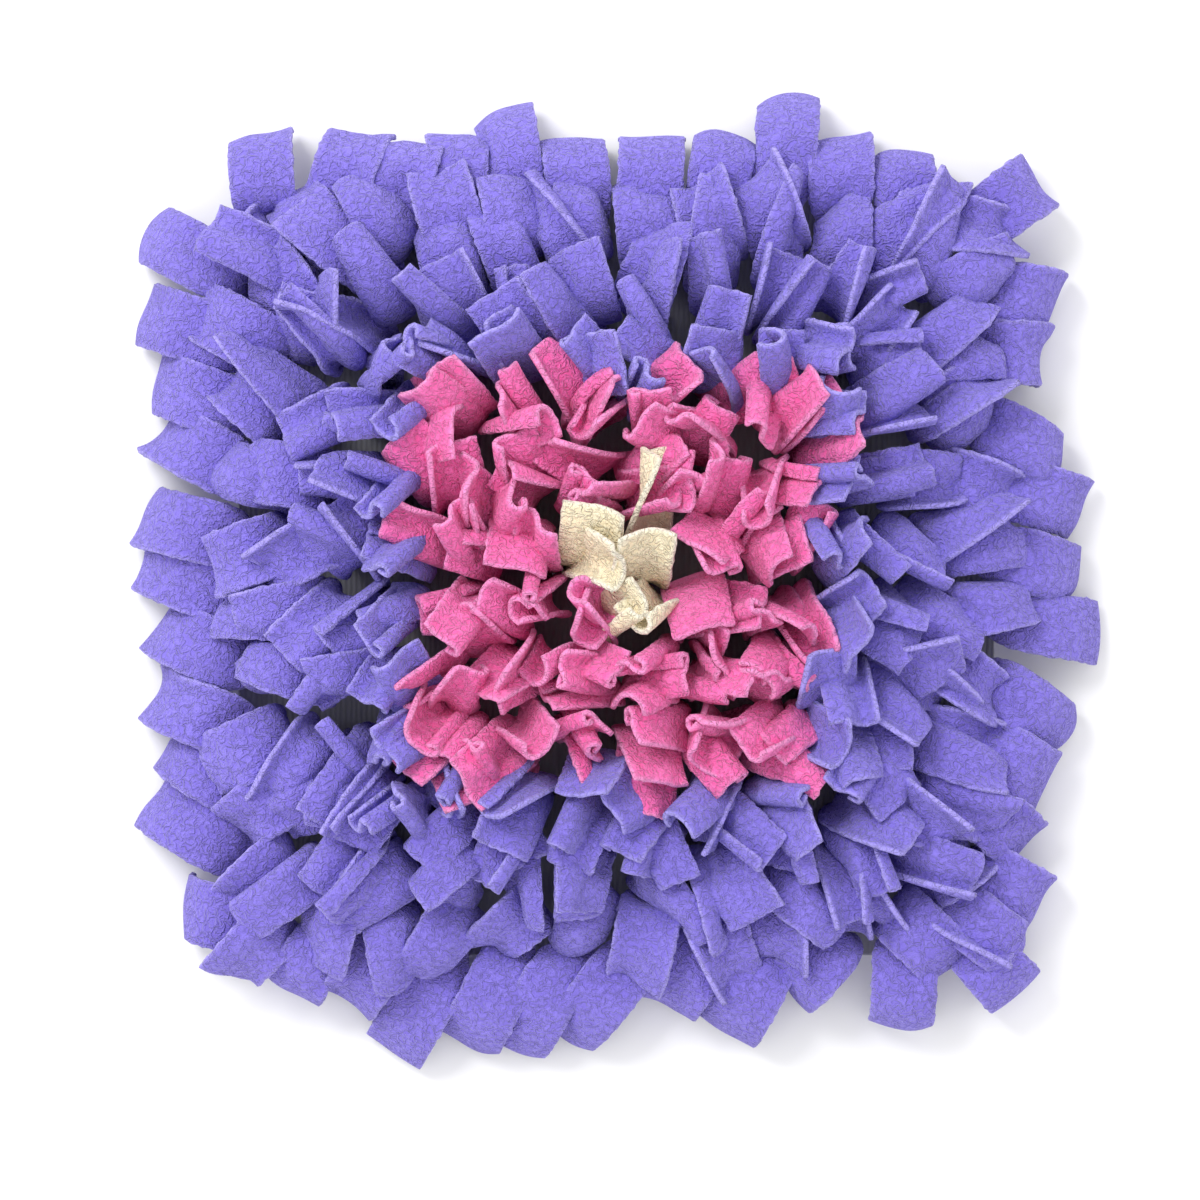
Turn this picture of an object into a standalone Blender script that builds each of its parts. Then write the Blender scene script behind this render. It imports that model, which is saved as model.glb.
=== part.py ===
"""Snuffle mat: a flat square base sheet with rows of fleece strips tied to it.

Metres, +Z up, +Y towards the back. The origin is the middle of the underside, where the mat
rests. The rows are squares inside each other. The outermost row falls outwards to the floor,
each row further in lies on the one outside it or stands up more, and the middle is upright.
Each side of a square is one comb: its strips are joined by the band of knots along their roots.
"""

import bpy
from math import atan2, cos, hypot, pi, radians, sin
from random import Random

MM = 0.001

BASE_SIDE = 300 * MM
BASE_THICKNESS = 3 * MM
BASE_CORNER_RADIUS = 14 * MM
CORNER_STEPS = 5

STRIP_WIDTH = 21.5 * MM
KNOT_WIDTH = 15 * MM
STRIP_THICKNESS = 2.3 * MM
FULL_WIDTH_HEIGHT = 22 * MM
KNOT_PITCH = 24 * MM
SHINGLE_STEP = 3.6 * MM

PURPLE = (0.33, 0.26, 0.80, 1.0)
PINK = (0.96, 0.20, 0.60, 1.0)
CREAM = (0.98, 0.88, 0.66, 1.0)
GREY = (0.42, 0.42, 0.45, 1.0)
CLOTH_ROUGHNESS = 0.95

# The way each side faces, as its angle from +X.
SIDES = {"right": 0.0, "back": 90.0, "left": 180.0, "front": 270.0}

# A strip's fall, in mm: how far its middle line has gone outwards from the knot, and its height
# over the floor. The first two lines are the bottom and the top of the knot band.
FRINGE_FALL = [
    # outwards, height
    (0, 3.3),
    (0, 9),
    (5, 18),
    (15, 23),
    (29, 19.5),
    (42, 10),
    (54, 2.4),
]
SECOND_FALL = [
    (0, 3.3),
    (0, 10),
    (4, 27),
    (14, 38),
    (30, 41.5),
    (44, 35),
]
THIRD_FALL = [
    (0, 3.3),
    (0, 10),
    (3, 34),
    (14, 52),
    (34, 57),
]
FOURTH_FALL = [
    (0, 3.3),
    (0, 10),
    (1.5, 36),
    (5, 53),
    (12, 64),
]
FIFTH_FALL = [
    (0, 3.3),
    (0, 10),
    (0.5, 34),
    (2, 54),
    (5, 68),
]
HEART_FALL = [
    (0, 3.3),
    (0, 10),
    (0, 36),
    (1, 56),
    (3, 71),
]

# The outer fringe, strip by strip along each side, in mm: where the middle of the cut end lies
# along the side, and how far out from the middle of the mat.
FRINGE_TIPS = {
    "back": [
        # along, out
        (-114, 166),
        (-91, 172),
        (-69, 188),
        (-45, 173),
        (-18, 172),
        (8, 171),
        (33, 183),
        (57, 172),
        (80, 168),
        (102, 174),
        (127, 178),
        (149, 173),
    ],
    "left": [
        (-134, 182),
        (-104, 186),
        (-78, 181),
        (-55, 179),
        (-27, 186),
        (-5, 187),
        (19, 180),
        (43, 182),
        (64, 174),
        (86, 183),
        (110, 181),
        (136, 168),
    ],
    "front": [
        (-128, 163),
        (-102, 166),
        (-84, 187),
        (-60, 183),
        (-36, 186),
        (-12, 181),
        (12, 169),
        (36, 172),
        (58, 180),
        (86, 168),
        (110, 176),
        (157, 163),
    ],
    "right": [
        (-130, 168),
        (-103, 162),
        (-81, 168),
        (-61, 177),
        (-38, 180),
        (-14, 190),
        (9, 180),
        (33, 183),
        (58, 174),
        (84, 166),
        (110, 172),
        (156, 164),
    ],
}

# The rows inside the fringe, lengths in mm: distance of the knots from the middle, fall, how far
# the end strips of a side fan out in degrees, how deep a strip is cupped, how far every other
# strip lies over its neighbours, and the colour.
ROWS = {
    # name: (knots out, fall, fan, cup, shingle, colour)
    "purple_row_two": (114, SECOND_FALL, 40, 0, 3.6, PURPLE),
    "purple_row_three": (90, THIRD_FALL, 32, 3.0, 0, PURPLE),
    "pink_row_four": (66, FOURTH_FALL, 24, 3.5, 0, PINK),
    "pink_row_five": (44, FIFTH_FALL, 24, 3.0, 0, PINK),
}
FRINGE_KNOTS_OUT = 138 * MM
# The fan grows with this power of the way along a side, so it is felt near the corners only.
FAN_POWER = 3

# The heart: three short straight rows along Y, in mm.
HEART = {
    # name: (x of the knots, number of strips, way the strips face in degrees, colour)
    "pink_heart_left": (-19, 2, 180.0, PINK),
    "cream_heart": (0, 2, 0.0, CREAM),
    "pink_heart_right": (19, 2, 0.0, PINK),
}
HEART_PITCH = 23 * MM
HEART_CUP = 2.5 * MM

# Hand-cut strips differ: the share by which one leans less or more, and stands lower.
UNEVEN_LEAN = 0.22
UNEVEN_HEIGHT = 0.07
UNEVEN_SEED = 7


def clear_scene():
    for thing in list(bpy.data.objects):
        bpy.data.objects.remove(thing, do_unlink=True)


def make_cloth(name, colour):
    cloth = bpy.data.materials.new(name)
    cloth.use_nodes = True
    shader = cloth.node_tree.nodes["Principled BSDF"]
    shader.inputs["Base Color"].default_value = colour
    shader.inputs["Roughness"].default_value = CLOTH_ROUGHNESS
    shader.inputs["Metallic"].default_value = 0.0
    return cloth


def add_object(name, corners, faces, colour):
    mesh = bpy.data.meshes.new(name)
    mesh.from_pydata(corners, [], faces)
    mesh.validate()
    mesh.materials.append(make_cloth(name + "_cloth", colour))
    thing = bpy.data.objects.new(name, mesh)
    bpy.context.collection.objects.link(thing)
    return thing


def make_base():
    """A square sheet with round corners, its underside flat on the floor."""
    straight = BASE_SIDE / 2 - BASE_CORNER_RADIUS
    outline = []
    for quarter, (sx, sy) in enumerate([(1, 1), (-1, 1), (-1, -1), (1, -1)]):
        for step in range(CORNER_STEPS + 1):
            angle = (quarter + step / CORNER_STEPS) * pi / 2
            outline.append((sx * straight + BASE_CORNER_RADIUS * cos(angle),
                            sy * straight + BASE_CORNER_RADIUS * sin(angle)))
    count = len(outline)
    corners = [(x, y, 0.0) for x, y in outline]
    corners += [(x, y, BASE_THICKNESS) for x, y in outline]
    faces = [tuple(reversed(range(count))), tuple(range(count, 2 * count))]
    for i in range(count):
        j = (i + 1) % count
        faces.append((i, j, count + j, count + i))
    add_object("base_mat", corners, faces, GREY)


def strip_sections(knot, facing, reach, fall, cup=0.0, lift=0.0, shorter=0.0):
    """The cross sections of one strip from the knot to the cut end, two or three points each.

    knot is the place of the knot in plan, facing the way the strip falls as an angle, reach
    the plan distance that the fall is stretched to, cup how deep the strip is cupped, lift how
    far it lies over its neighbour, and shorter the share of its height that it lacks.
    """
    out = (cos(facing), sin(facing))
    across = (-sin(facing), cos(facing))
    stretch = reach / (fall[-1][0] * MM)
    knot_top = fall[1][1] * MM
    sections = []
    for outwards_mm, height_mm in fall:
        outwards = outwards_mm * MM * stretch
        above_knot = max(0.0, height_mm * MM - knot_top)
        spread = min(1.0, (above_knot + outwards) / FULL_WIDTH_HEIGHT)
        half = (KNOT_WIDTH + (STRIP_WIDTH - KNOT_WIDTH) * spread) / 2
        height = height_mm * MM - above_knot * shorter + lift * spread
        middle = outwards + cup * spread
        points = []
        for place, distance in ((-half, outwards), (0.0, middle), (half, outwards)):
            points.append((knot[0] + out[0] * distance + across[0] * place,
                           knot[1] + out[1] * distance + across[1] * place,
                           height))
        sections.append(points if cup else [points[0], points[2]])
    return sections


def make_comb(name, strips, colour):
    """Joins strips along the knot band into one sheet, and gives the sheet its thickness."""
    corners, faces, starts = [], [], []
    for sections in strips:
        starts.append(len(corners))
        across = len(sections[0])
        for row, points in enumerate(sections):
            corners.extend(points)
            if row == 0:
                continue
            for step in range(across - 1):
                low = starts[-1] + (row - 1) * across + step
                high = low + across
                faces.append((low, low + 1, high + 1, high))
    for index in range(len(strips) - 1):
        across = len(strips[index][0])
        bottom_end = starts[index] + across - 1
        top_end = bottom_end + across
        bottom_next = starts[index + 1]
        top_next = bottom_next + len(strips[index + 1][0])
        faces.append((bottom_end, bottom_next, top_next, top_end))
    comb = add_object(name, corners, faces, colour)
    comb.data.shade_smooth()
    comb.data.set_sharp_from_angle(angle=radians(50))
    thicken = comb.modifiers.new("cloth thickness", "SOLIDIFY")
    thicken.thickness = STRIP_THICKNESS
    thicken.offset = 0.0


def knot_places(knots_out):
    """Knots along one side, the last of them on the corner that the next side starts from."""
    count = round(2 * knots_out / KNOT_PITCH)
    pitch = 2 * knots_out / count
    return [-knots_out + (k + 1) * pitch for k in range(count)]


def in_plan(angle, out, along):
    return (cos(angle) * out - sin(angle) * along, sin(angle) * out + cos(angle) * along)


def make_fringe():
    for side, degrees in SIDES.items():
        angle = radians(degrees)
        strips = []
        tips = FRINGE_TIPS[side]
        for k, along in enumerate(knot_places(FRINGE_KNOTS_OUT)):
            tip_along, tip_out = tips[k]
            sideways = tip_along * MM - along
            outwards = tip_out * MM - FRINGE_KNOTS_OUT
            strips.append(strip_sections(
                knot=in_plan(angle, FRINGE_KNOTS_OUT, along),
                facing=angle + atan2(sideways, outwards),
                reach=hypot(sideways, outwards),
                fall=FRINGE_FALL,
                lift=SHINGLE_STEP * (k % 2)))
        make_comb("fringe_" + side, strips, PURPLE)


def make_rows():
    chance = Random(UNEVEN_SEED)
    for row, (knots_out_mm, fall, fan, cup, shingle, colour) in ROWS.items():
        knots_out = knots_out_mm * MM
        for side, degrees in SIDES.items():
            angle = radians(degrees)
            strips = []
            for k, along in enumerate(knot_places(knots_out)):
                strips.append(strip_sections(
                    knot=in_plan(angle, knots_out, along),
                    facing=angle + radians(fan) * (along / knots_out) ** FAN_POWER,
                    reach=fall[-1][0] * MM * (1 + UNEVEN_LEAN * chance.uniform(-1, 0.5)),
                    fall=fall,
                    cup=cup * MM * (-1 if k % 2 else 1),
                    lift=shingle * MM * (k % 2),
                    shorter=UNEVEN_HEIGHT * chance.random()))
            make_comb(row + "_" + side, strips, colour)


def make_heart():
    for name, (x_mm, count, degrees, colour) in HEART.items():
        angle = radians(degrees)
        strips = []
        for k in range(count):
            along = (k - (count - 1) / 2) * HEART_PITCH
            knot = (x_mm * MM, along if degrees == 0.0 else -along)
            strips.append(strip_sections(
                knot=knot,
                facing=angle,
                reach=HEART_FALL[-1][0] * MM,
                fall=HEART_FALL,
                cup=HEART_CUP * (-1 if k % 2 else 1)))
        make_comb(name, strips, colour)


clear_scene()
make_base()
make_fringe()
make_rows()
make_heart()
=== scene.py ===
"""Snuffle mat: fleece strips tied to a square base, purple round a pink middle with a cream heart.

Metres, +Z up, +Y towards the back. The pile is tied from the outside in, row by row. Each new
row is let grow out of its knots, and it settles against the floor and the strips tied before it.
"""
from math import cos, pi, radians, sin

import bpy
import numpy as np
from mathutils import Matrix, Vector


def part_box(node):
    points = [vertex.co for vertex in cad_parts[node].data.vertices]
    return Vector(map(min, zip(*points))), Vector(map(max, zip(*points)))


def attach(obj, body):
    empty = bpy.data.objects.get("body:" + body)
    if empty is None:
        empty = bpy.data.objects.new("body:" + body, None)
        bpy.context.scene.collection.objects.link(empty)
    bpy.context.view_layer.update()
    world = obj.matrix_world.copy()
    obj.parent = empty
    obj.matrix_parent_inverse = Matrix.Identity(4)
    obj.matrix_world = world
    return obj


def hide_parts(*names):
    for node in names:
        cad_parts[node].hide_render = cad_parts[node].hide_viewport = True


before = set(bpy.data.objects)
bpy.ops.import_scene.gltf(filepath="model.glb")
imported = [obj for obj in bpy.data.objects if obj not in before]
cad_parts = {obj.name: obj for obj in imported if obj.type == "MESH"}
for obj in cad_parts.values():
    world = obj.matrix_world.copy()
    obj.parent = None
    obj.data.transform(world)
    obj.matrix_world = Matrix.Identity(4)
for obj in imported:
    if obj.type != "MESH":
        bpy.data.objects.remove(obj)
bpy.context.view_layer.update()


# ---- Base mat -------------------------------------------------------------------------------
# A flat square of thick grey woven cloth with round corners, which every strip is tied to.
# It lies on the floor, its cut edge softly rounded, and shows deep between the strips and a
# little below the corners of the fringe.
BASE_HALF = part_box("base_mat")[1][0]
BASE_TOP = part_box("base_mat")[1][2]
BASE_CORNER = 0.014
CORNER_STEPS = 8
BASE_EDGE_ROUND = 0.0009
BASE_GREY = (0.30, 0.30, 0.33, 1.0)
BASE_WEAVE = 150.0


def new_cloth(name, colour, roughness):
    """A material with its Principled shader, to be finished by its own section."""
    cloth = bpy.data.materials.new(name)
    cloth.use_nodes = True
    shader = cloth.node_tree.nodes["Principled BSDF"]
    shader.inputs["Base Color"].default_value = colour
    shader.inputs["Roughness"].default_value = roughness
    cloth.diffuse_color = colour
    return cloth, shader


base_cloth, base_shader = new_cloth("base_cloth", BASE_GREY, 0.9)
base_nodes = base_cloth.node_tree.nodes
base_links = base_cloth.node_tree.links
base_place = base_nodes.new("ShaderNodeTexCoord")
threads = base_nodes.new("ShaderNodeTexWave")
threads.inputs["Scale"].default_value = BASE_WEAVE
threads.inputs["Distortion"].default_value = 1.5
base_links.new(base_place.outputs["Object"], threads.inputs["Vector"])
base_bump = base_nodes.new("ShaderNodeBump")
base_bump.inputs["Strength"].default_value = 0.4
base_bump.inputs["Distance"].default_value = 0.0006
base_links.new(threads.outputs["Fac"], base_bump.inputs["Height"])
base_links.new(base_bump.outputs["Normal"], base_shader.inputs["Normal"])

outline = []
for quarter, (sx, sy) in enumerate([(1, 1), (-1, 1), (-1, -1), (1, -1)]):
    for step in range(CORNER_STEPS + 1):
        angle = (quarter + step / CORNER_STEPS) * pi / 2
        outline.append((sx * (BASE_HALF - BASE_CORNER) + BASE_CORNER * cos(angle),
                        sy * (BASE_HALF - BASE_CORNER) + BASE_CORNER * sin(angle)))
around = len(outline)
base_corners = [(x, y, z) for z in (0.0, BASE_TOP) for x, y in outline]
base_faces = [tuple(reversed(range(around))), tuple(range(around, 2 * around))]
for i in range(around):
    j = (i + 1) % around
    base_faces.append((i, j, around + j, around + i))
base_mesh = bpy.data.meshes.new("base_sheet")
base_mesh.from_pydata(base_corners, [], base_faces)
base_mesh.materials.append(base_cloth)
base_sheet = bpy.data.objects.new("base_sheet", base_mesh)
bpy.context.collection.objects.link(base_sheet)
soften = base_sheet.modifiers.new("soft cut edge", "BEVEL")
soften.width = BASE_EDGE_ROUND
soften.segments = 3
soften.limit_method = "ANGLE"
soften.angle_limit = radians(60)
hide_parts("base_mat")
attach(base_sheet, "root")


# ---- Outer fringe ---------------------------------------------------------------------------
# Purple polar-fleece strips, cut 25 mm wide with straight scissor ends and tied in pairs along
# the outermost row of knots. They fall outwards over the edge of the base and lie on the floor.
STRIP_WIDTH = 0.025
FLEECE = 0.0023
KNOT_PITCH = 0.025
# A gathered strip's width at its knot, as a share of its full width, the share of its length by
# which it is fully open, how sharply the knot folds it, and how curled it is at its root.
GATHERED = 0.38
OPEN_BY = 0.35
KNOT_FOLD = 1.1
CURL_AT_ROOT = 0.35
CURL_GAINED = 0.65
ROOT_HEIGHT = 0.004
ACROSS = 7
ALONG = 18
SIDES = {"right": 0.0, "back": 90.0, "left": 180.0, "front": 270.0}


def knots_along(out):
    """Places of the knots along one side of a square row, the last of them on its corner."""
    count = round(2 * out / KNOT_PITCH)
    return [-out + (k + 1) * KNOT_PITCH for k in range(count)]


def turned(side, out, along):
    """A place given by its side, its distance out and its way along, as x and y."""
    angle = radians(SIDES[side])
    return (cos(angle) * out - sin(angle) * along, sin(angle) * out + cos(angle) * along)


def ease(x):
    x = np.clip(x, 0.0, 1.0)
    return x * x * (3 - 2 * x)


def cut_strips(rows):
    """Turns rows of (knot x, y, tip x, y, tip height, length, twist, curl, wave) into arrays.

    The tip is where the middle of the cut end would lie. curl bends a strip into a trough or a
    roll, wave into an S, and twist turns it about its own length, all in radians.
    """
    table = np.array(rows, dtype=float)
    height = np.full(len(table), BASE_TOP + ROOT_HEIGHT)
    strips = {"root": np.column_stack([table[:, 0:2], height])}
    way = table[:, 2:4] - table[:, 0:2]
    strips["facing"] = np.arctan2(way[:, 1], way[:, 0])
    rise = table[:, 4] - strips["root"][:, 2]
    reach = np.hypot(way[:, 0], way[:, 1])
    chord = np.hypot(reach, rise)
    strips["length"] = np.maximum(table[:, 5], chord * 1.005)
    # a strip falls in a round arc: its whole bend is found from its chord and its length
    bends = np.linspace(0.02, 5.0, 400)
    shares = np.sin(bends / 2) / (bends / 2)
    strips["bend"] = np.interp(-chord / strips["length"], -shares, bends)
    strips["lean"] = np.arctan2(reach, rise)
    strips["twist"] = table[:, 6]
    strips["curl"] = table[:, 7]
    strips["wave"] = table[:, 8]
    return strips


def strip_shape(strips, grown):
    """Where every point of the strips, grown to that share, would lie with nothing in the way."""
    count = len(strips["length"])
    t = np.linspace(0.0, 1.0, ALONG)[None, :] * grown
    lean = strips["lean"][:, None] + strips["bend"][:, None] * (t - 0.5)
    facing = np.repeat(strips["facing"][:, None], ALONG, axis=1)
    way = np.stack([np.sin(lean) * np.cos(facing), np.sin(lean) * np.sin(facing), np.cos(lean)], -1)
    step = (strips["length"] * grown / (ALONG - 1))[:, None, None]
    middle = np.cumsum(way * step, axis=1) - way * step
    middle += strips["root"][:, None, :]
    side = np.stack([-np.sin(facing), np.cos(facing), np.zeros_like(facing)], -1)
    normal = np.cross(way, side)
    turn = (strips["twist"][:, None] * t)[..., None]
    across = side * np.cos(turn) + normal * np.sin(turn)
    normal = normal * np.cos(turn) - side * np.sin(turn)
    open_share = ease(t / OPEN_BY)
    v = np.linspace(-1.0, 1.0, ACROSS)
    v_mid = (v[1:] + v[:-1]) / 2
    curl = strips["curl"][:, None] * (CURL_AT_ROOT + CURL_GAINED * t) + (1 - open_share) * KNOT_FOLD
    wave = strips["wave"][:, None] * np.ones_like(t)
    slope = curl[..., None] * v_mid + wave[..., None] * (1 - 2 * np.abs(v_mid))
    width = STRIP_WIDTH * (GATHERED + (1 - GATHERED) * open_share) * (0.5 + 0.5 * ease(grown * 3))
    run = width[..., None] / (ACROSS - 1)
    over = np.cumsum(np.cos(slope) * run, axis=-1)
    up = np.cumsum(np.sin(slope) * run, axis=-1)
    over = np.concatenate([np.zeros((count, ALONG, 1)), over], -1)
    up = np.concatenate([np.zeros((count, ALONG, 1)), up], -1)
    over -= over.mean(-1, keepdims=True)
    up -= up.mean(-1, keepdims=True)
    return middle[:, :, None, :] + across[:, :, None, :] * over[..., None] \
        + normal[:, :, None, :] * up[..., None]


def draw_together(a, b, rest, give, hold_a, hold_b):
    """Moves two sets of points towards being rest apart. A held point has a hold of 0."""
    gap = b - a
    far = np.sqrt(np.einsum("...k,...k->...", gap, gap)) + 1e-9
    share = (give * (far - rest) / far / np.maximum(hold_a + hold_b, 1e-6))[..., None]
    a += gap * share * hold_a[..., None]
    b -= gap * share * hold_b[..., None]


def near_pairs(moving, still, reach):
    """Pairs of points within reach, as two index arrays. The second may be in the still points."""
    points = np.concatenate([moving, still])
    cell = np.floor((points - points.min(0)) / reach).astype(np.int64) + 1
    size = cell.max(0) + 2
    key = (cell[:, 0] * size[1] + cell[:, 1]) * size[2] + cell[:, 2]
    order = np.argsort(key, kind="stable")
    ranked = key[order]
    firsts, seconds = [], []
    count = len(moving)
    for dx in (-1, 0, 1):
        for dy in (-1, 0, 1):
            want = key[:count] + (dx * size[1] + dy) * size[2]
            start = np.searchsorted(ranked, want - 1, "left")
            many = np.searchsorted(ranked, want + 1, "right") - start
            first = np.repeat(np.arange(count), many)
            place = np.arange(len(first)) - np.repeat(np.cumsum(many) - many, many)
            second = order[np.repeat(start, many) + place]
            good = second > first
            first, second = first[good], second[good]
            gap = points[first] - points[second]
            good = np.einsum("ij,ij->i", gap, gap) < reach * reach
            firsts.append(first[good])
            seconds.append(second[good])
    return np.concatenate(firsts), np.concatenate(seconds)


# How far apart strips stay, how far a point may move in a step, and how many steps are taken.
APART = 0.0031
LARGEST_STEP = 0.0009
GROW_STEPS = 110
REST_STEPS = 60
STEPS_BETWEEN_SEARCHES = 6
GROWN_AT_START = 0.12
# The share of an error put right in a step: of the intended shape, of a stretch, of a bend
# along the strip, of a bend across it, and of a shear. Droop is how far a point sinks in a step.
SHAPE_PULL = 0.10
STRETCH_GIVE = 0.9
BEND_GIVE = 0.5
CURL_GIVE = 0.35
SHEAR_GIVE = 0.25
DROOP = 0.00004
FLOOR_GAP = 0.0002
BASE_SLOPE_END = 0.008
BASE_SLOPE_WIDTH = 0.006


def settle(strips, tied):
    """Grows strips from their knots and lets them settle on the floor and on the tied strips.

    Points of different strips are kept the thickness of the cloth apart, and move less than half
    of it in a step. The cloth between the points, and a strip against itself, isn't tested, so
    strips still cross in places where the pile is tight. tied holds the strips tied before.
    """
    count = len(strips["length"])
    full = strip_shape(strips, 1.0)
    two_along = np.linalg.norm(full[:, 2:] - full[:, :-2], axis=-1)
    two_across = np.linalg.norm(full[:, :, 2:] - full[:, :, :-2], axis=-1)
    across = np.linalg.norm(full[:, :, 1:] - full[:, :, :-1], axis=-1)
    hold = np.ones((count, ALONG, ACROSS))
    hold[:, :2] = 0.0
    owner = np.repeat(np.arange(count), ALONG * ACROSS)
    cloth = strip_shape(strips, GROWN_AT_START)
    still = tied.reshape(-1, 3)
    for step in range(GROW_STEPS + REST_STEPS):
        share = min(1.0, (step + 1) / GROW_STEPS) * 0.999 + 0.001
        grown = GROWN_AT_START + (1 - GROWN_AT_START) * ease(share)
        goal = strip_shape(strips, grown)
        before = cloth.copy()
        settled = max(0.0, (step - GROW_STEPS) / REST_STEPS)
        cloth += (goal - cloth) * (SHAPE_PULL * (1 - settled) ** 2) * hold[..., None]
        cloth[:, :2] = goal[:, :2]
        cloth[..., 2] -= DROOP * hold * grown
        along_rest = (strips["length"] * grown / (ALONG - 1))[:, None, None]
        width_now = np.linalg.norm(goal[:, :, 1:] - goal[:, :, :-1], axis=-1)
        for odd in (0, 1):
            draw_together(cloth[:, odd:-1:2], cloth[:, odd + 1::2],
                          along_rest, STRETCH_GIVE, hold[:, odd:-1:2], hold[:, odd + 1::2])
            draw_together(cloth[:, :, odd:-1:2], cloth[:, :, odd + 1::2],
                          width_now[:, :, odd::2], STRETCH_GIVE,
                          hold[:, :, odd:-1:2], hold[:, :, odd + 1::2])
        for lead in (0, 1, 2, 3):
            a = slice(lead, ALONG - 2, 4)
            b = slice(lead + 2, ALONG, 4)
            draw_together(cloth[:, a], cloth[:, b], two_along[:, a] * grown,
                          BEND_GIVE, hold[:, a], hold[:, b])
        wide = width_now.sum(-1) / across.sum(-1)
        for lead in (0, 1, 2, 3):
            a = slice(lead, ACROSS - 2, 4)
            b = slice(lead + 2, ACROSS, 4)
            draw_together(cloth[:, :, a], cloth[:, :, b], two_across[:, :, a] * wide[..., None],
                          CURL_GIVE, hold[:, :, a], hold[:, :, b])
        slant = np.sqrt(along_rest ** 2 + (width_now[:, 1:] * 0.5 + width_now[:, :-1] * 0.5) ** 2)
        draw_together(cloth[:, :-1, :-1], cloth[:, 1:, 1:], slant, SHEAR_GIVE,
                      hold[:, :-1, :-1], hold[:, 1:, 1:])
        draw_together(cloth[:, :-1, 1:], cloth[:, 1:, :-1], slant, SHEAR_GIVE,
                      hold[:, :-1, 1:], hold[:, 1:, :-1])
        flat = cloth.reshape(-1, 3)
        if step % STEPS_BETWEEN_SEARCHES == 0:
            first, second = near_pairs(flat, still, APART + STEPS_BETWEEN_SEARCHES * LARGEST_STEP)
            inner = second < len(flat)
            keep = ~inner
            keep[inner] = owner[first[inner]] != owner[second[inner]]
            first, second = first[keep], second[keep]
            inner = second < len(flat)
        other = np.empty((len(second), 3))
        other[inner] = flat[second[inner]]
        other[~inner] = still[second[~inner] - len(flat)]
        gap = flat[first] - other
        far = np.sqrt(np.einsum("ij,ij->i", gap, gap)) + 1e-9
        touch = far < APART
        push = gap[touch] * ((APART - far[touch]) / far[touch])[:, None]
        a, b, both = first[touch], second[touch], inner[touch]
        push[both] *= 0.5
        held = hold.reshape(-1)
        moved = np.zeros_like(flat)
        hits = np.bincount(a, minlength=len(flat)) + np.bincount(b[both], minlength=len(flat))
        for k in range(3):
            moved[:, k] += np.bincount(a, push[:, k], minlength=len(flat))
            moved[:, k] -= np.bincount(b[both], push[both, k], minlength=len(flat))
        flat += moved * (held / np.maximum(1.0, hits * 0.5))[:, None]
        edge = np.maximum(np.abs(flat[:, 0]), np.abs(flat[:, 1]))
        on_base = ease((BASE_HALF + BASE_SLOPE_END - edge) / BASE_SLOPE_WIDTH)
        floor = FLEECE / 2 + FLOOR_GAP + BASE_TOP * on_base
        flat[:, 2] = np.maximum(flat[:, 2], floor)
        travel = flat - before.reshape(-1, 3)
        far = np.sqrt(np.einsum("ij,ij->i", travel, travel)) + 1e-12
        cap = np.minimum(1.0, LARGEST_STEP / far)
        cap[held == 0] = 1.0
        cloth = (before.reshape(-1, 3) + travel * cap[:, None]).reshape(cloth.shape)
    return cloth


def between(points, axis):
    """The same grid with a smooth point set between each two along an axis."""
    points = np.moveaxis(points, axis, 0)
    first = 2 * points[:1] - points[1:2]
    last = 2 * points[-1:] - points[-2:-1]
    wide = np.concatenate([first, points, last])
    middle = (9 * (wide[1:-2] + wide[2:-1]) - wide[:-3] - wide[3:]) / 16
    finer = np.empty((2 * len(points) - 1,) + points.shape[1:])
    finer[::2] = points
    finer[1::2] = middle
    return np.moveaxis(finer, 0, axis)


def unit(vectors):
    return vectors / (np.linalg.norm(vectors, axis=-1, keepdims=True) + 1e-12)


EDGE_ROUND = 0.00045
RAGGED = 0.00022
RIM_SHARE = 0.55
SMOOTHING = 0.22
FUZZ_AND_HIGHLIGHT_BESIDE_EDGE = 0.55


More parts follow.
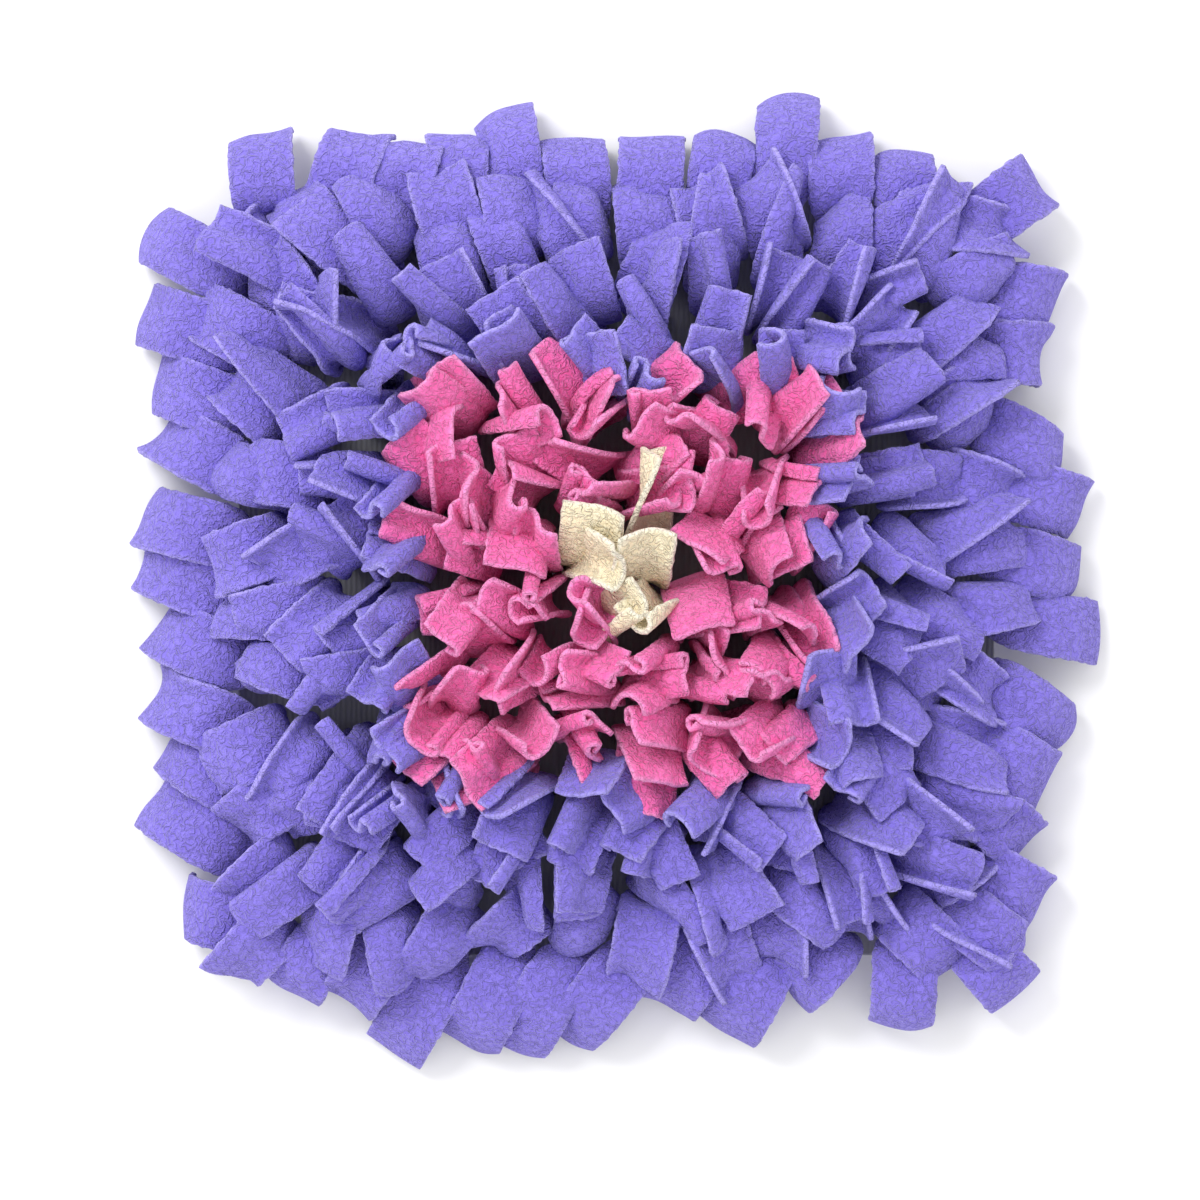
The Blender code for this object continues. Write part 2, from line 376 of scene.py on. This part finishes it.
def sew_mesh(name, cloth, cloth_colour, chance):
    """One joined mesh of whole strips, each with its thickness and a slightly ragged cut edge."""
    for _ in range(2):
        inner = cloth[:, 2:-1]
        inner += SMOOTHING * (cloth[:, 1:-2] + cloth[:, 3:] - 2 * inner)
    sheet = between(between(cloth, 1), 2)
    count, rows, columns, _ = sheet.shape
    along = unit(np.gradient(sheet, axis=1))
    across = unit(np.gradient(sheet, axis=2))
    normal = unit(np.cross(along, across))
    edge = [(0, c) for c in range(columns)]
    edge += [(r, columns - 1) for r in range(1, rows)]
    edge += [(rows - 1, c) for c in range(columns - 2, -1, -1)]
    edge += [(r, 0) for r in range(rows - 2, 0, -1)]
    edge_rows, edge_columns = np.array(edge).T
    outward = np.zeros_like(sheet)
    outward[:, 0] -= along[:, 0]
    outward[:, -1] += along[:, -1]
    outward[:, :, 0] -= across[:, :, 0]
    outward[:, :, -1] += across[:, :, -1]
    outward = unit(outward[:, edge_rows, edge_columns])
    rim = sheet[:, edge_rows, edge_columns]
    rim = rim + outward * chance.normal(0.0, RAGGED, rim.shape[:2])[..., None]
    thick = normal[:, edge_rows, edge_columns] * FLEECE / 2
    body = rows * columns
    top = sheet + normal * FLEECE / 2
    low = sheet - normal * FLEECE / 2
    rings = [rim + outward * EDGE_ROUND + thick * share for share in (RIM_SHARE, -RIM_SHARE)]
    corners = np.concatenate(
        [top.reshape(count, body, 3), low.reshape(count, body, 3)] + rings, axis=1)
    each = corners.shape[1]
    r, c = np.meshgrid(np.arange(rows - 1), np.arange(columns - 1), indexing="ij")
    spot = (r * columns + c).reshape(-1)
    upper = np.column_stack([spot, spot + 1, spot + columns + 1, spot + columns])
    under = np.column_stack([spot, spot + columns, spot + columns + 1, spot + 1]) + body
    n = len(edge)
    here = np.arange(n)
    there = (here + 1) % n
    top_edge = edge_rows * columns + edge_columns
    loops = [top_edge, 2 * body + here, 2 * body + n + here, body + top_edge]
    sides = []
    for a, b in zip(loops[:-1], loops[1:]):
        sides.append(np.column_stack([a[here], b[here], b[there], a[there]]))
    faces = np.concatenate([upper, under] + sides)
    faces = faces[:, ::-1]
    faces = (faces[None] + (np.arange(count) * each)[:, None, None]).reshape(-1, 4)
    mesh = bpy.data.meshes.new(name)
    mesh.vertices.add(count * each)
    mesh.vertices.foreach_set("co", corners.astype(np.float32).reshape(-1))
    mesh.loops.add(faces.size)
    mesh.loops.foreach_set("vertex_index", faces.astype(np.int32).reshape(-1))
    mesh.polygons.add(len(faces))
    mesh.polygons.foreach_set("loop_start", np.arange(0, faces.size, 4, dtype=np.int32))
    mesh.update(calc_edges=True)
    mesh.shade_smooth()
    # A painted highlight on the fuzzy cut edges, where they catch the light: full on the rim, and
    # part on the faces beside it.
    fuzz_and_highlight_mask = np.zeros((count, each))
    fuzz_and_highlight_mask[:, 2 * body:] = 1.0
    fuzz_and_highlight_mask[:, top_edge] = FUZZ_AND_HIGHLIGHT_BESIDE_EDGE
    fuzz_and_highlight_mask[:, body + top_edge] = FUZZ_AND_HIGHLIGHT_BESIDE_EDGE
    mask = mesh.attributes.new("cut_edge", "FLOAT", "POINT")
    mask.data.foreach_set("value", fuzz_and_highlight_mask.astype(np.float32).reshape(-1))
    piece = bpy.data.objects.new(name, mesh)
    bpy.context.collection.objects.link(piece)
    mesh.materials.append(cloth_colour)
    return piece


PILLS_PER_M = 360.0
LINT_PER_M = 1900.0
DYE_CLOUDS_PER_M = 38.0


def pilled_fleece():
    """Node group: the worm-like pills of polar fleece, its uneven dye with painted shade between
    the pills, and its fuzzy cut edge with a painted highlight.
    """
    group = bpy.data.node_groups.new("pilled fleece", "ShaderNodeTree")
    face = group.interface
    face.new_socket("Dye", in_out="INPUT", socket_type="NodeSocketColor")
    face.new_socket("Pill Shade and Deep Dye", in_out="INPUT", socket_type="NodeSocketColor")
    face.new_socket("Fuzz and Edge Highlight", in_out="INPUT", socket_type="NodeSocketColor")
    size = face.new_socket("Pills per Metre", in_out="INPUT", socket_type="NodeSocketFloat")
    size.default_value = PILLS_PER_M
    face.new_socket("Colour", in_out="OUTPUT", socket_type="NodeSocketColor")
    face.new_socket("Height", in_out="OUTPUT", socket_type="NodeSocketFloat")
    nodes, links = group.nodes, group.links
    given = nodes.new("NodeGroupInput")
    result = nodes.new("NodeGroupOutput")
    place = nodes.new("ShaderNodeTexCoord")

    def noise(scale, detail, distortion):
        node = nodes.new("ShaderNodeTexNoise")
        node.inputs["Scale"].default_value = scale
        node.inputs["Detail"].default_value = detail
        node.inputs["Distortion"].default_value = distortion
        links.new(place.outputs["Object"], node.inputs["Vector"])
        return node

    def math(operation, a, b=None, clamp=False):
        node = nodes.new("ShaderNodeMath")
        node.operation = operation
        node.use_clamp = clamp
        for socket, value in zip(node.inputs, (a, b)):
            if value is None:
                continue
            if isinstance(value, (int, float)):
                socket.default_value = value
            else:
                links.new(value, socket)
        return node.outputs[0]

    pills = noise(PILLS_PER_M, 1.5, 0.9)
    links.new(given.outputs["Pills per Metre"], pills.inputs["Scale"])
    ridge = math("ABSOLUTE", math("SUBTRACT", pills.outputs["Fac"], 0.5))
    ridge = math("SUBTRACT", 1.0, math("MULTIPLY", ridge, 7.0), clamp=True)
    lint = noise(LINT_PER_M, 2.0, 0.0)
    cloud = noise(DYE_CLOUDS_PER_M, 2.0, 0.3)
    lint_height = math("MULTIPLY", lint.outputs["Fac"], 0.5)
    height = math("ADD", math("MULTIPLY", ridge, 0.75), lint_height)
    links.new(height, result.inputs["Height"])
    # Painted shade: the dye is darker in the hollows between the pills and lighter on their crests,
    # and it also varies at random with the dye clouds and lint.
    dye_and_pill_shade = math("ADD", math("MULTIPLY", ridge, 0.45), math("MULTIPLY", cloud.outputs["Fac"], 0.7))
    dye_and_pill_shade = math("ADD", dye_and_pill_shade, math("MULTIPLY", lint.outputs["Fac"], 0.25), clamp=True)
    dyed_and_shaded = nodes.new("ShaderNodeMix")
    dyed_and_shaded.data_type = "RGBA"
    links.new(dye_and_pill_shade, dyed_and_shaded.inputs[0])
    links.new(given.outputs["Pill Shade and Deep Dye"], dyed_and_shaded.inputs[6])
    links.new(given.outputs["Dye"], dyed_and_shaded.inputs[7])
    # Painted highlight: the cut edges, where they catch the light, are mixed towards the lighter
    # fuzz colour.
    edge = nodes.new("ShaderNodeAttribute")
    edge.attribute_name = "cut_edge"
    fuzz_and_highlight_share = math("MULTIPLY", math("POWER", edge.outputs["Fac"], 1.6), 0.8, clamp=True)
    finished = nodes.new("ShaderNodeMix")
    finished.data_type = "RGBA"
    links.new(fuzz_and_highlight_share, finished.inputs[0])
    links.new(dyed_and_shaded.outputs[2], finished.inputs[6])
    links.new(given.outputs["Fuzz and Edge Highlight"], finished.inputs[7])
    links.new(finished.outputs[2], result.inputs["Colour"])
    return group


FLEECE_PILE = pilled_fleece()
PILE_STRENGTH = 1.0
PILE_DEPTH = 0.0011


def dye_fleece(name, dye, pill_shade_and_deep_dye, fuzz_and_edge_highlight, sheen):
    """A fleece material: its dye, its darker dye and painted shade between the pills, and the fuzz
    and painted highlight of its cut edges.
    """
    cloth, shader = new_cloth(name, dye, 0.95)
    nodes, links = cloth.node_tree.nodes, cloth.node_tree.links
    pile = nodes.new("ShaderNodeGroup")
    pile.node_tree = FLEECE_PILE
    pile.inputs["Pills per Metre"].default_value = PILLS_PER_M
    pile.inputs["Dye"].default_value = dye
    pile.inputs["Pill Shade and Deep Dye"].default_value = pill_shade_and_deep_dye
    pile.inputs["Fuzz and Edge Highlight"].default_value = fuzz_and_edge_highlight
    bump = nodes.new("ShaderNodeBump")
    bump.inputs["Strength"].default_value = PILE_STRENGTH
    bump.inputs["Distance"].default_value = PILE_DEPTH
    links.new(pile.outputs["Colour"], shader.inputs["Base Color"])
    links.new(pile.outputs["Height"], bump.inputs["Height"])
    links.new(bump.outputs["Normal"], shader.inputs["Normal"])
    shader.inputs["Sheen Weight"].default_value = sheen
    shader.inputs["Sheen Roughness"].default_value = 0.6
    shader.inputs["Specular IOR Level"].default_value = 0.15
    return cloth


# Each fleece is given three colours: its dye, a darker colour for the painted shade between its
# pills and its deep dye, and a lighter colour for the painted highlight on its fuzzy cut edges.
purple_fleece = dye_fleece("purple_fleece", (0.25, 0.195, 0.76, 1.0), (0.16, 0.115, 0.57, 1.0),
                           (0.42, 0.36, 0.92, 1.0), 0.25)


def fasten(piece, strip_count, length, *nodes, slot):
    """Hides the parts of model.glb that a row of tied strips stands for and hangs its piece on the
    root body; slot, its cloth, is not used.
    """
    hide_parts(*nodes)
    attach(piece, "root")


def lay_row(rows, tied, piece_name, node_name, cloth, length, chance, slot):
    """Settles a square row, makes a piece of each side, and returns the points tied so far."""
    laid = settle(cut_strips(rows), tied)
    tied = np.concatenate([tied, laid.reshape(-1, 3)])
    per_side = len(rows) // len(SIDES)
    for n, side in enumerate(SIDES):
        strips = laid[n * per_side:(n + 1) * per_side]
        piece = sew_mesh(piece_name + side, strips, cloth, chance)
        fasten(piece, per_side, length, node_name + side, slot=slot)
    return tied


# Where the cut ends of the lower strips lie, in mm: along the side and out from the middle.
FRINGE_TIPS = {
    "back": [(-112, 163), (-88, 172), (-68, 189), (-43, 173), (-14, 172), (18, 171), (45, 183),
             (62, 172), (80, 169), (100, 174), (140, 173)],
    "left": [(-136, 184), (-104, 186), (-77, 181), (-58, 180), (-24, 186), (-7, 187), (19, 180),
             (46, 182), (66, 175), (88, 183), (130, 168)],
    "front": [(-126, 160), (-106, 166), (-88, 187), (-58, 184), (-40, 186), (-20, 181), (20, 168),
              (44, 179), (70, 160), (112, 176), (156, 162)],
    "right": [(-128, 165), (-104, 158), (-80, 168), (-62, 177), (-22, 190), (0, 180), (27, 183),
              (45, 173), (88, 165), (108, 172), (155, 165)],
}
FRINGE_OUT = 0.1375
tied = np.zeros((0, 3))
chance = np.random.default_rng(11)
rows = []
for side in SIDES:
    for k, along in enumerate(knots_along(FRINGE_OUT)):
        tip_along, tip_out = FRINGE_TIPS[side][k]
        # the lower end of the pair, which makes the outline
        rows.append(turned(side, FRINGE_OUT + 0.003, along)
                    + turned(side, tip_out / 1000, tip_along / 1000)
                    + (0.004, 0.064 + chance.uniform(0, 0.006), chance.uniform(-0.3, 0.3),
                       chance.uniform(-0.7, 0.7), chance.uniform(-0.3, 0.3)))
        # the upper end, which lies over it
        rows.append(turned(side, FRINGE_OUT - 0.004, along)
                    + turned(side, 0.150 + chance.uniform(-0.010, 0.012),
                             along * 1.06 + chance.uniform(-0.014, 0.014))
                    + (0.018 + chance.uniform(0, 0.012), 0.062, chance.uniform(-0.8, 0.8),
                       chance.uniform(-1.2, 1.2), chance.uniform(-0.5, 0.5)))
tied = lay_row(rows, tied, "fringe_strips_", "fringe_", purple_fleece, 0.066, chance,
               slot="purple_fleece")


# ---- Second and third purple rows -----------------------------------------------------------
# The same purple strips, tied on the next two squares of knots. They stand up more, lean out
# over the row outside them, and their ends curl. The third row has three ends to a knot.
# How far apart in and out the ends of one knot stand, for two ends and for three.
TWO_ENDS_APART = 0.0075
THREE_ENDS_APART = 0.012
SIDEWAYS = 0.019


def tie_row(out, ends, chance):
    """Rows for cut_strips: the ends of the strips at every knot of a square of knots.

    Each of ends holds: tip distance out, its spread, tip height, its spread, length, curl.
    """
    rows = []
    apart = TWO_ENDS_APART if len(ends) == 2 else THREE_ENDS_APART
    for side in SIDES:
        for along in knots_along(out):
            for end, (tip, tip_spread, height, height_spread, length, curl) in enumerate(ends):
                place = (end / (len(ends) - 1) - 0.5) * apart
                root = turned(side, out - place, along)
                goes = tip / out * along + chance.uniform(-1, 1) * SIDEWAYS
                tip_place = turned(side, tip + chance.uniform(-1, 1) * tip_spread, goes)
                rows.append(root + tip_place
                            + (height + chance.uniform(-1, 1) * height_spread,
                               length + chance.uniform(-0.003, 0.003),
                               chance.uniform(-1.5, 1.5), chance.uniform(-curl, curl),
                               chance.uniform(-curl, curl) * 0.8))
    return rows


rows = tie_row(0.1125, [(0.143, 0.012, 0.030, 0.006, 0.066, 1.5),
                        (0.126, 0.012, 0.044, 0.006, 0.066, 2.2)], chance)
tied = lay_row(rows, tied, "second_row_strips_", "purple_row_two_", purple_fleece, 0.066, chance,
               slot="purple_fleece")

rows = tie_row(0.0875, [(0.116, 0.010, 0.046, 0.006, 0.066, 2.2),
                        (0.102, 0.010, 0.055, 0.005, 0.066, 2.6),
                        (0.090, 0.008, 0.062, 0.003, 0.067, 2.6)], chance)
tied = lay_row(rows, tied, "third_row_strips_", "purple_row_three_", purple_fleece, 0.066, chance,
               slot="purple_fleece")


# ---- Pink rows ------------------------------------------------------------------------------
# Pink strips of the same cloth on the next two squares, three ends to a knot. They are packed so
# tightly that they stand, folded lengthwise into troughs, rolls and waves.
pink_fleece = dye_fleece("pink_fleece", (0.96, 0.19, 0.52, 1.0), (0.88, 0.075, 0.32, 1.0),
                         (1.0, 0.34, 0.68, 1.0), 0.2)
rows = tie_row(0.0625, [(0.088, 0.010, 0.054, 0.005, 0.066, 2.2),
                        (0.074, 0.009, 0.061, 0.004, 0.067, 2.6),
                        (0.060, 0.008, 0.065, 0.003, 0.068, 2.6)], chance)
tied = lay_row(rows, tied, "fourth_row_strips_", "pink_row_four_", pink_fleece, 0.066, chance,
               slot="pink_fleece")

rows = tie_row(0.0375, [(0.054, 0.010, 0.060, 0.005, 0.067, 2.2),
                        (0.042, 0.009, 0.064, 0.004, 0.068, 2.6),
                        (0.030, 0.009, 0.067, 0.003, 0.069, 2.6)], chance)
tied = lay_row(rows, tied, "fifth_row_strips_", "pink_row_five_", pink_fleece, 0.067, chance,
               slot="pink_fleece")


# ---- Heart ----------------------------------------------------------------------------------
# The middle of the mat: six cream ends with two pink ones beside them, the tallest of the pile,
# leaning a little towards the back.
cream_fleece = dye_fleece("cream_fleece", (0.98, 0.90, 0.66, 1.0), (0.95, 0.78, 0.48, 1.0),
                          (1.0, 0.95, 0.80, 1.0), 0.2)
# knot x, y, tip x, y, tip height, length, twist, curl, wave; places in mm
CREAM_ENDS = [
    (10, 14, 16, 52, 62, 76, 1.2, 1.6, 0.6),
    (10, 8, 12, 20, 72, 76, 0.4, 0.8, 0.3),
    (-10, 14, -8, 30, 70, 76, -0.3, 0.5, 0.2),
    (-10, 8, 4, 2, 72, 75, 0.5, 1.2, 0.5),
    (8, -10, 12, -8, 70, 73, -0.9, 2.0, 0.6),
    (8, -16, 4, -20, 68, 72, 0.9, 1.8, -0.4),
]
PINK_HEART_ENDS = [
    (-10, -10, -18, -4, 68, 70, 0.8, 1.8, 0.5),
    (-10, -16, -16, -26, 66, 70, -0.7, 1.5, -0.6),
]


def in_metres(table):
    return [tuple(v / 1000 for v in row[:6]) + row[6:] for row in table]


heart = settle(cut_strips(in_metres(CREAM_ENDS + PINK_HEART_ENDS)), tied)
piece = sew_mesh("cream_heart_strips", heart[:len(CREAM_ENDS)], cream_fleece, chance)
fasten(piece, len(CREAM_ENDS), 0.074, "cream_heart", slot="cream_fleece")
piece = sew_mesh("pink_heart_strips", heart[len(CREAM_ENDS):], pink_fleece, chance)
fasten(piece, len(PINK_HEART_ENDS), 0.070, "pink_heart_left", "pink_heart_right",
       slot="pink_fleece")


# ---- Studio ---------------------------------------------------------------------------------
# A plain white floor, a soft white sky, a large soft lamp from the back left, and a camera
# that looks straight down.
floor_mesh = bpy.data.meshes.new("floor")
FLOOR_HALF = 3.0
floor_mesh.from_pydata([(-FLOOR_HALF, -FLOOR_HALF, 0), (FLOOR_HALF, -FLOOR_HALF, 0),
                        (FLOOR_HALF, FLOOR_HALF, 0), (-FLOOR_HALF, FLOOR_HALF, 0)],
                       [], [(0, 1, 2, 3)])
floor = bpy.data.objects.new("floor", floor_mesh)
bpy.context.collection.objects.link(floor)
floor_paint, floor_shader = new_cloth("floor_paint", (0.93, 0.93, 0.935, 1.0), 0.8)
floor_mesh.materials.append(floor_paint)

SKY_STRENGTH = 1.12
world = bpy.data.worlds.new("studio")
bpy.context.scene.world = world
world.use_nodes = True
world.node_tree.nodes["Background"].inputs["Color"].default_value = (1.0, 1.0, 1.0, 1.0)
world.node_tree.nodes["Background"].inputs["Strength"].default_value = SKY_STRENGTH


def soft_lamp(name, place, size, power):
    """A square lamp that faces the middle of the mat."""
    lamp = bpy.data.lights.new(name, "AREA")
    lamp.shape = "SQUARE"
    lamp.size = size
    lamp.energy = power
    holder = bpy.data.objects.new(name, lamp)
    bpy.context.collection.objects.link(holder)
    holder.location = place
    aim = bpy.data.objects["lamp aim"]
    follow = holder.constraints.new("TRACK_TO")
    follow.target = aim
    follow.track_axis = "TRACK_NEGATIVE_Z"
    follow.up_axis = "UP_Y"


lamp_aim = bpy.data.objects.new("lamp aim", None)
bpy.context.collection.objects.link(lamp_aim)
WINDOW_PLACE = (-0.9, 1.0, 1.5)
WINDOW_SIZE = 0.7
WINDOW_POWER = 20.0
soft_lamp("window", WINDOW_PLACE, WINDOW_SIZE, WINDOW_POWER)

CAMERA_HEIGHT = 1.6
PILE_MIDDLE = 0.03
FRAME_WIDTH = 0.468
FRAME_MIDDLE = (-0.0065, -0.009)
SENSOR_WIDTH = 36.0
lens = bpy.data.cameras.new("camera")
lens.sensor_width = SENSOR_WIDTH
lens.lens = SENSOR_WIDTH * (CAMERA_HEIGHT - PILE_MIDDLE) / FRAME_WIDTH
camera = bpy.data.objects.new("camera", lens)
bpy.context.collection.objects.link(camera)
camera.location = FRAME_MIDDLE + (CAMERA_HEIGHT,)
bpy.context.scene.camera = camera
bpy.context.scene.view_settings.view_transform = "Standard"
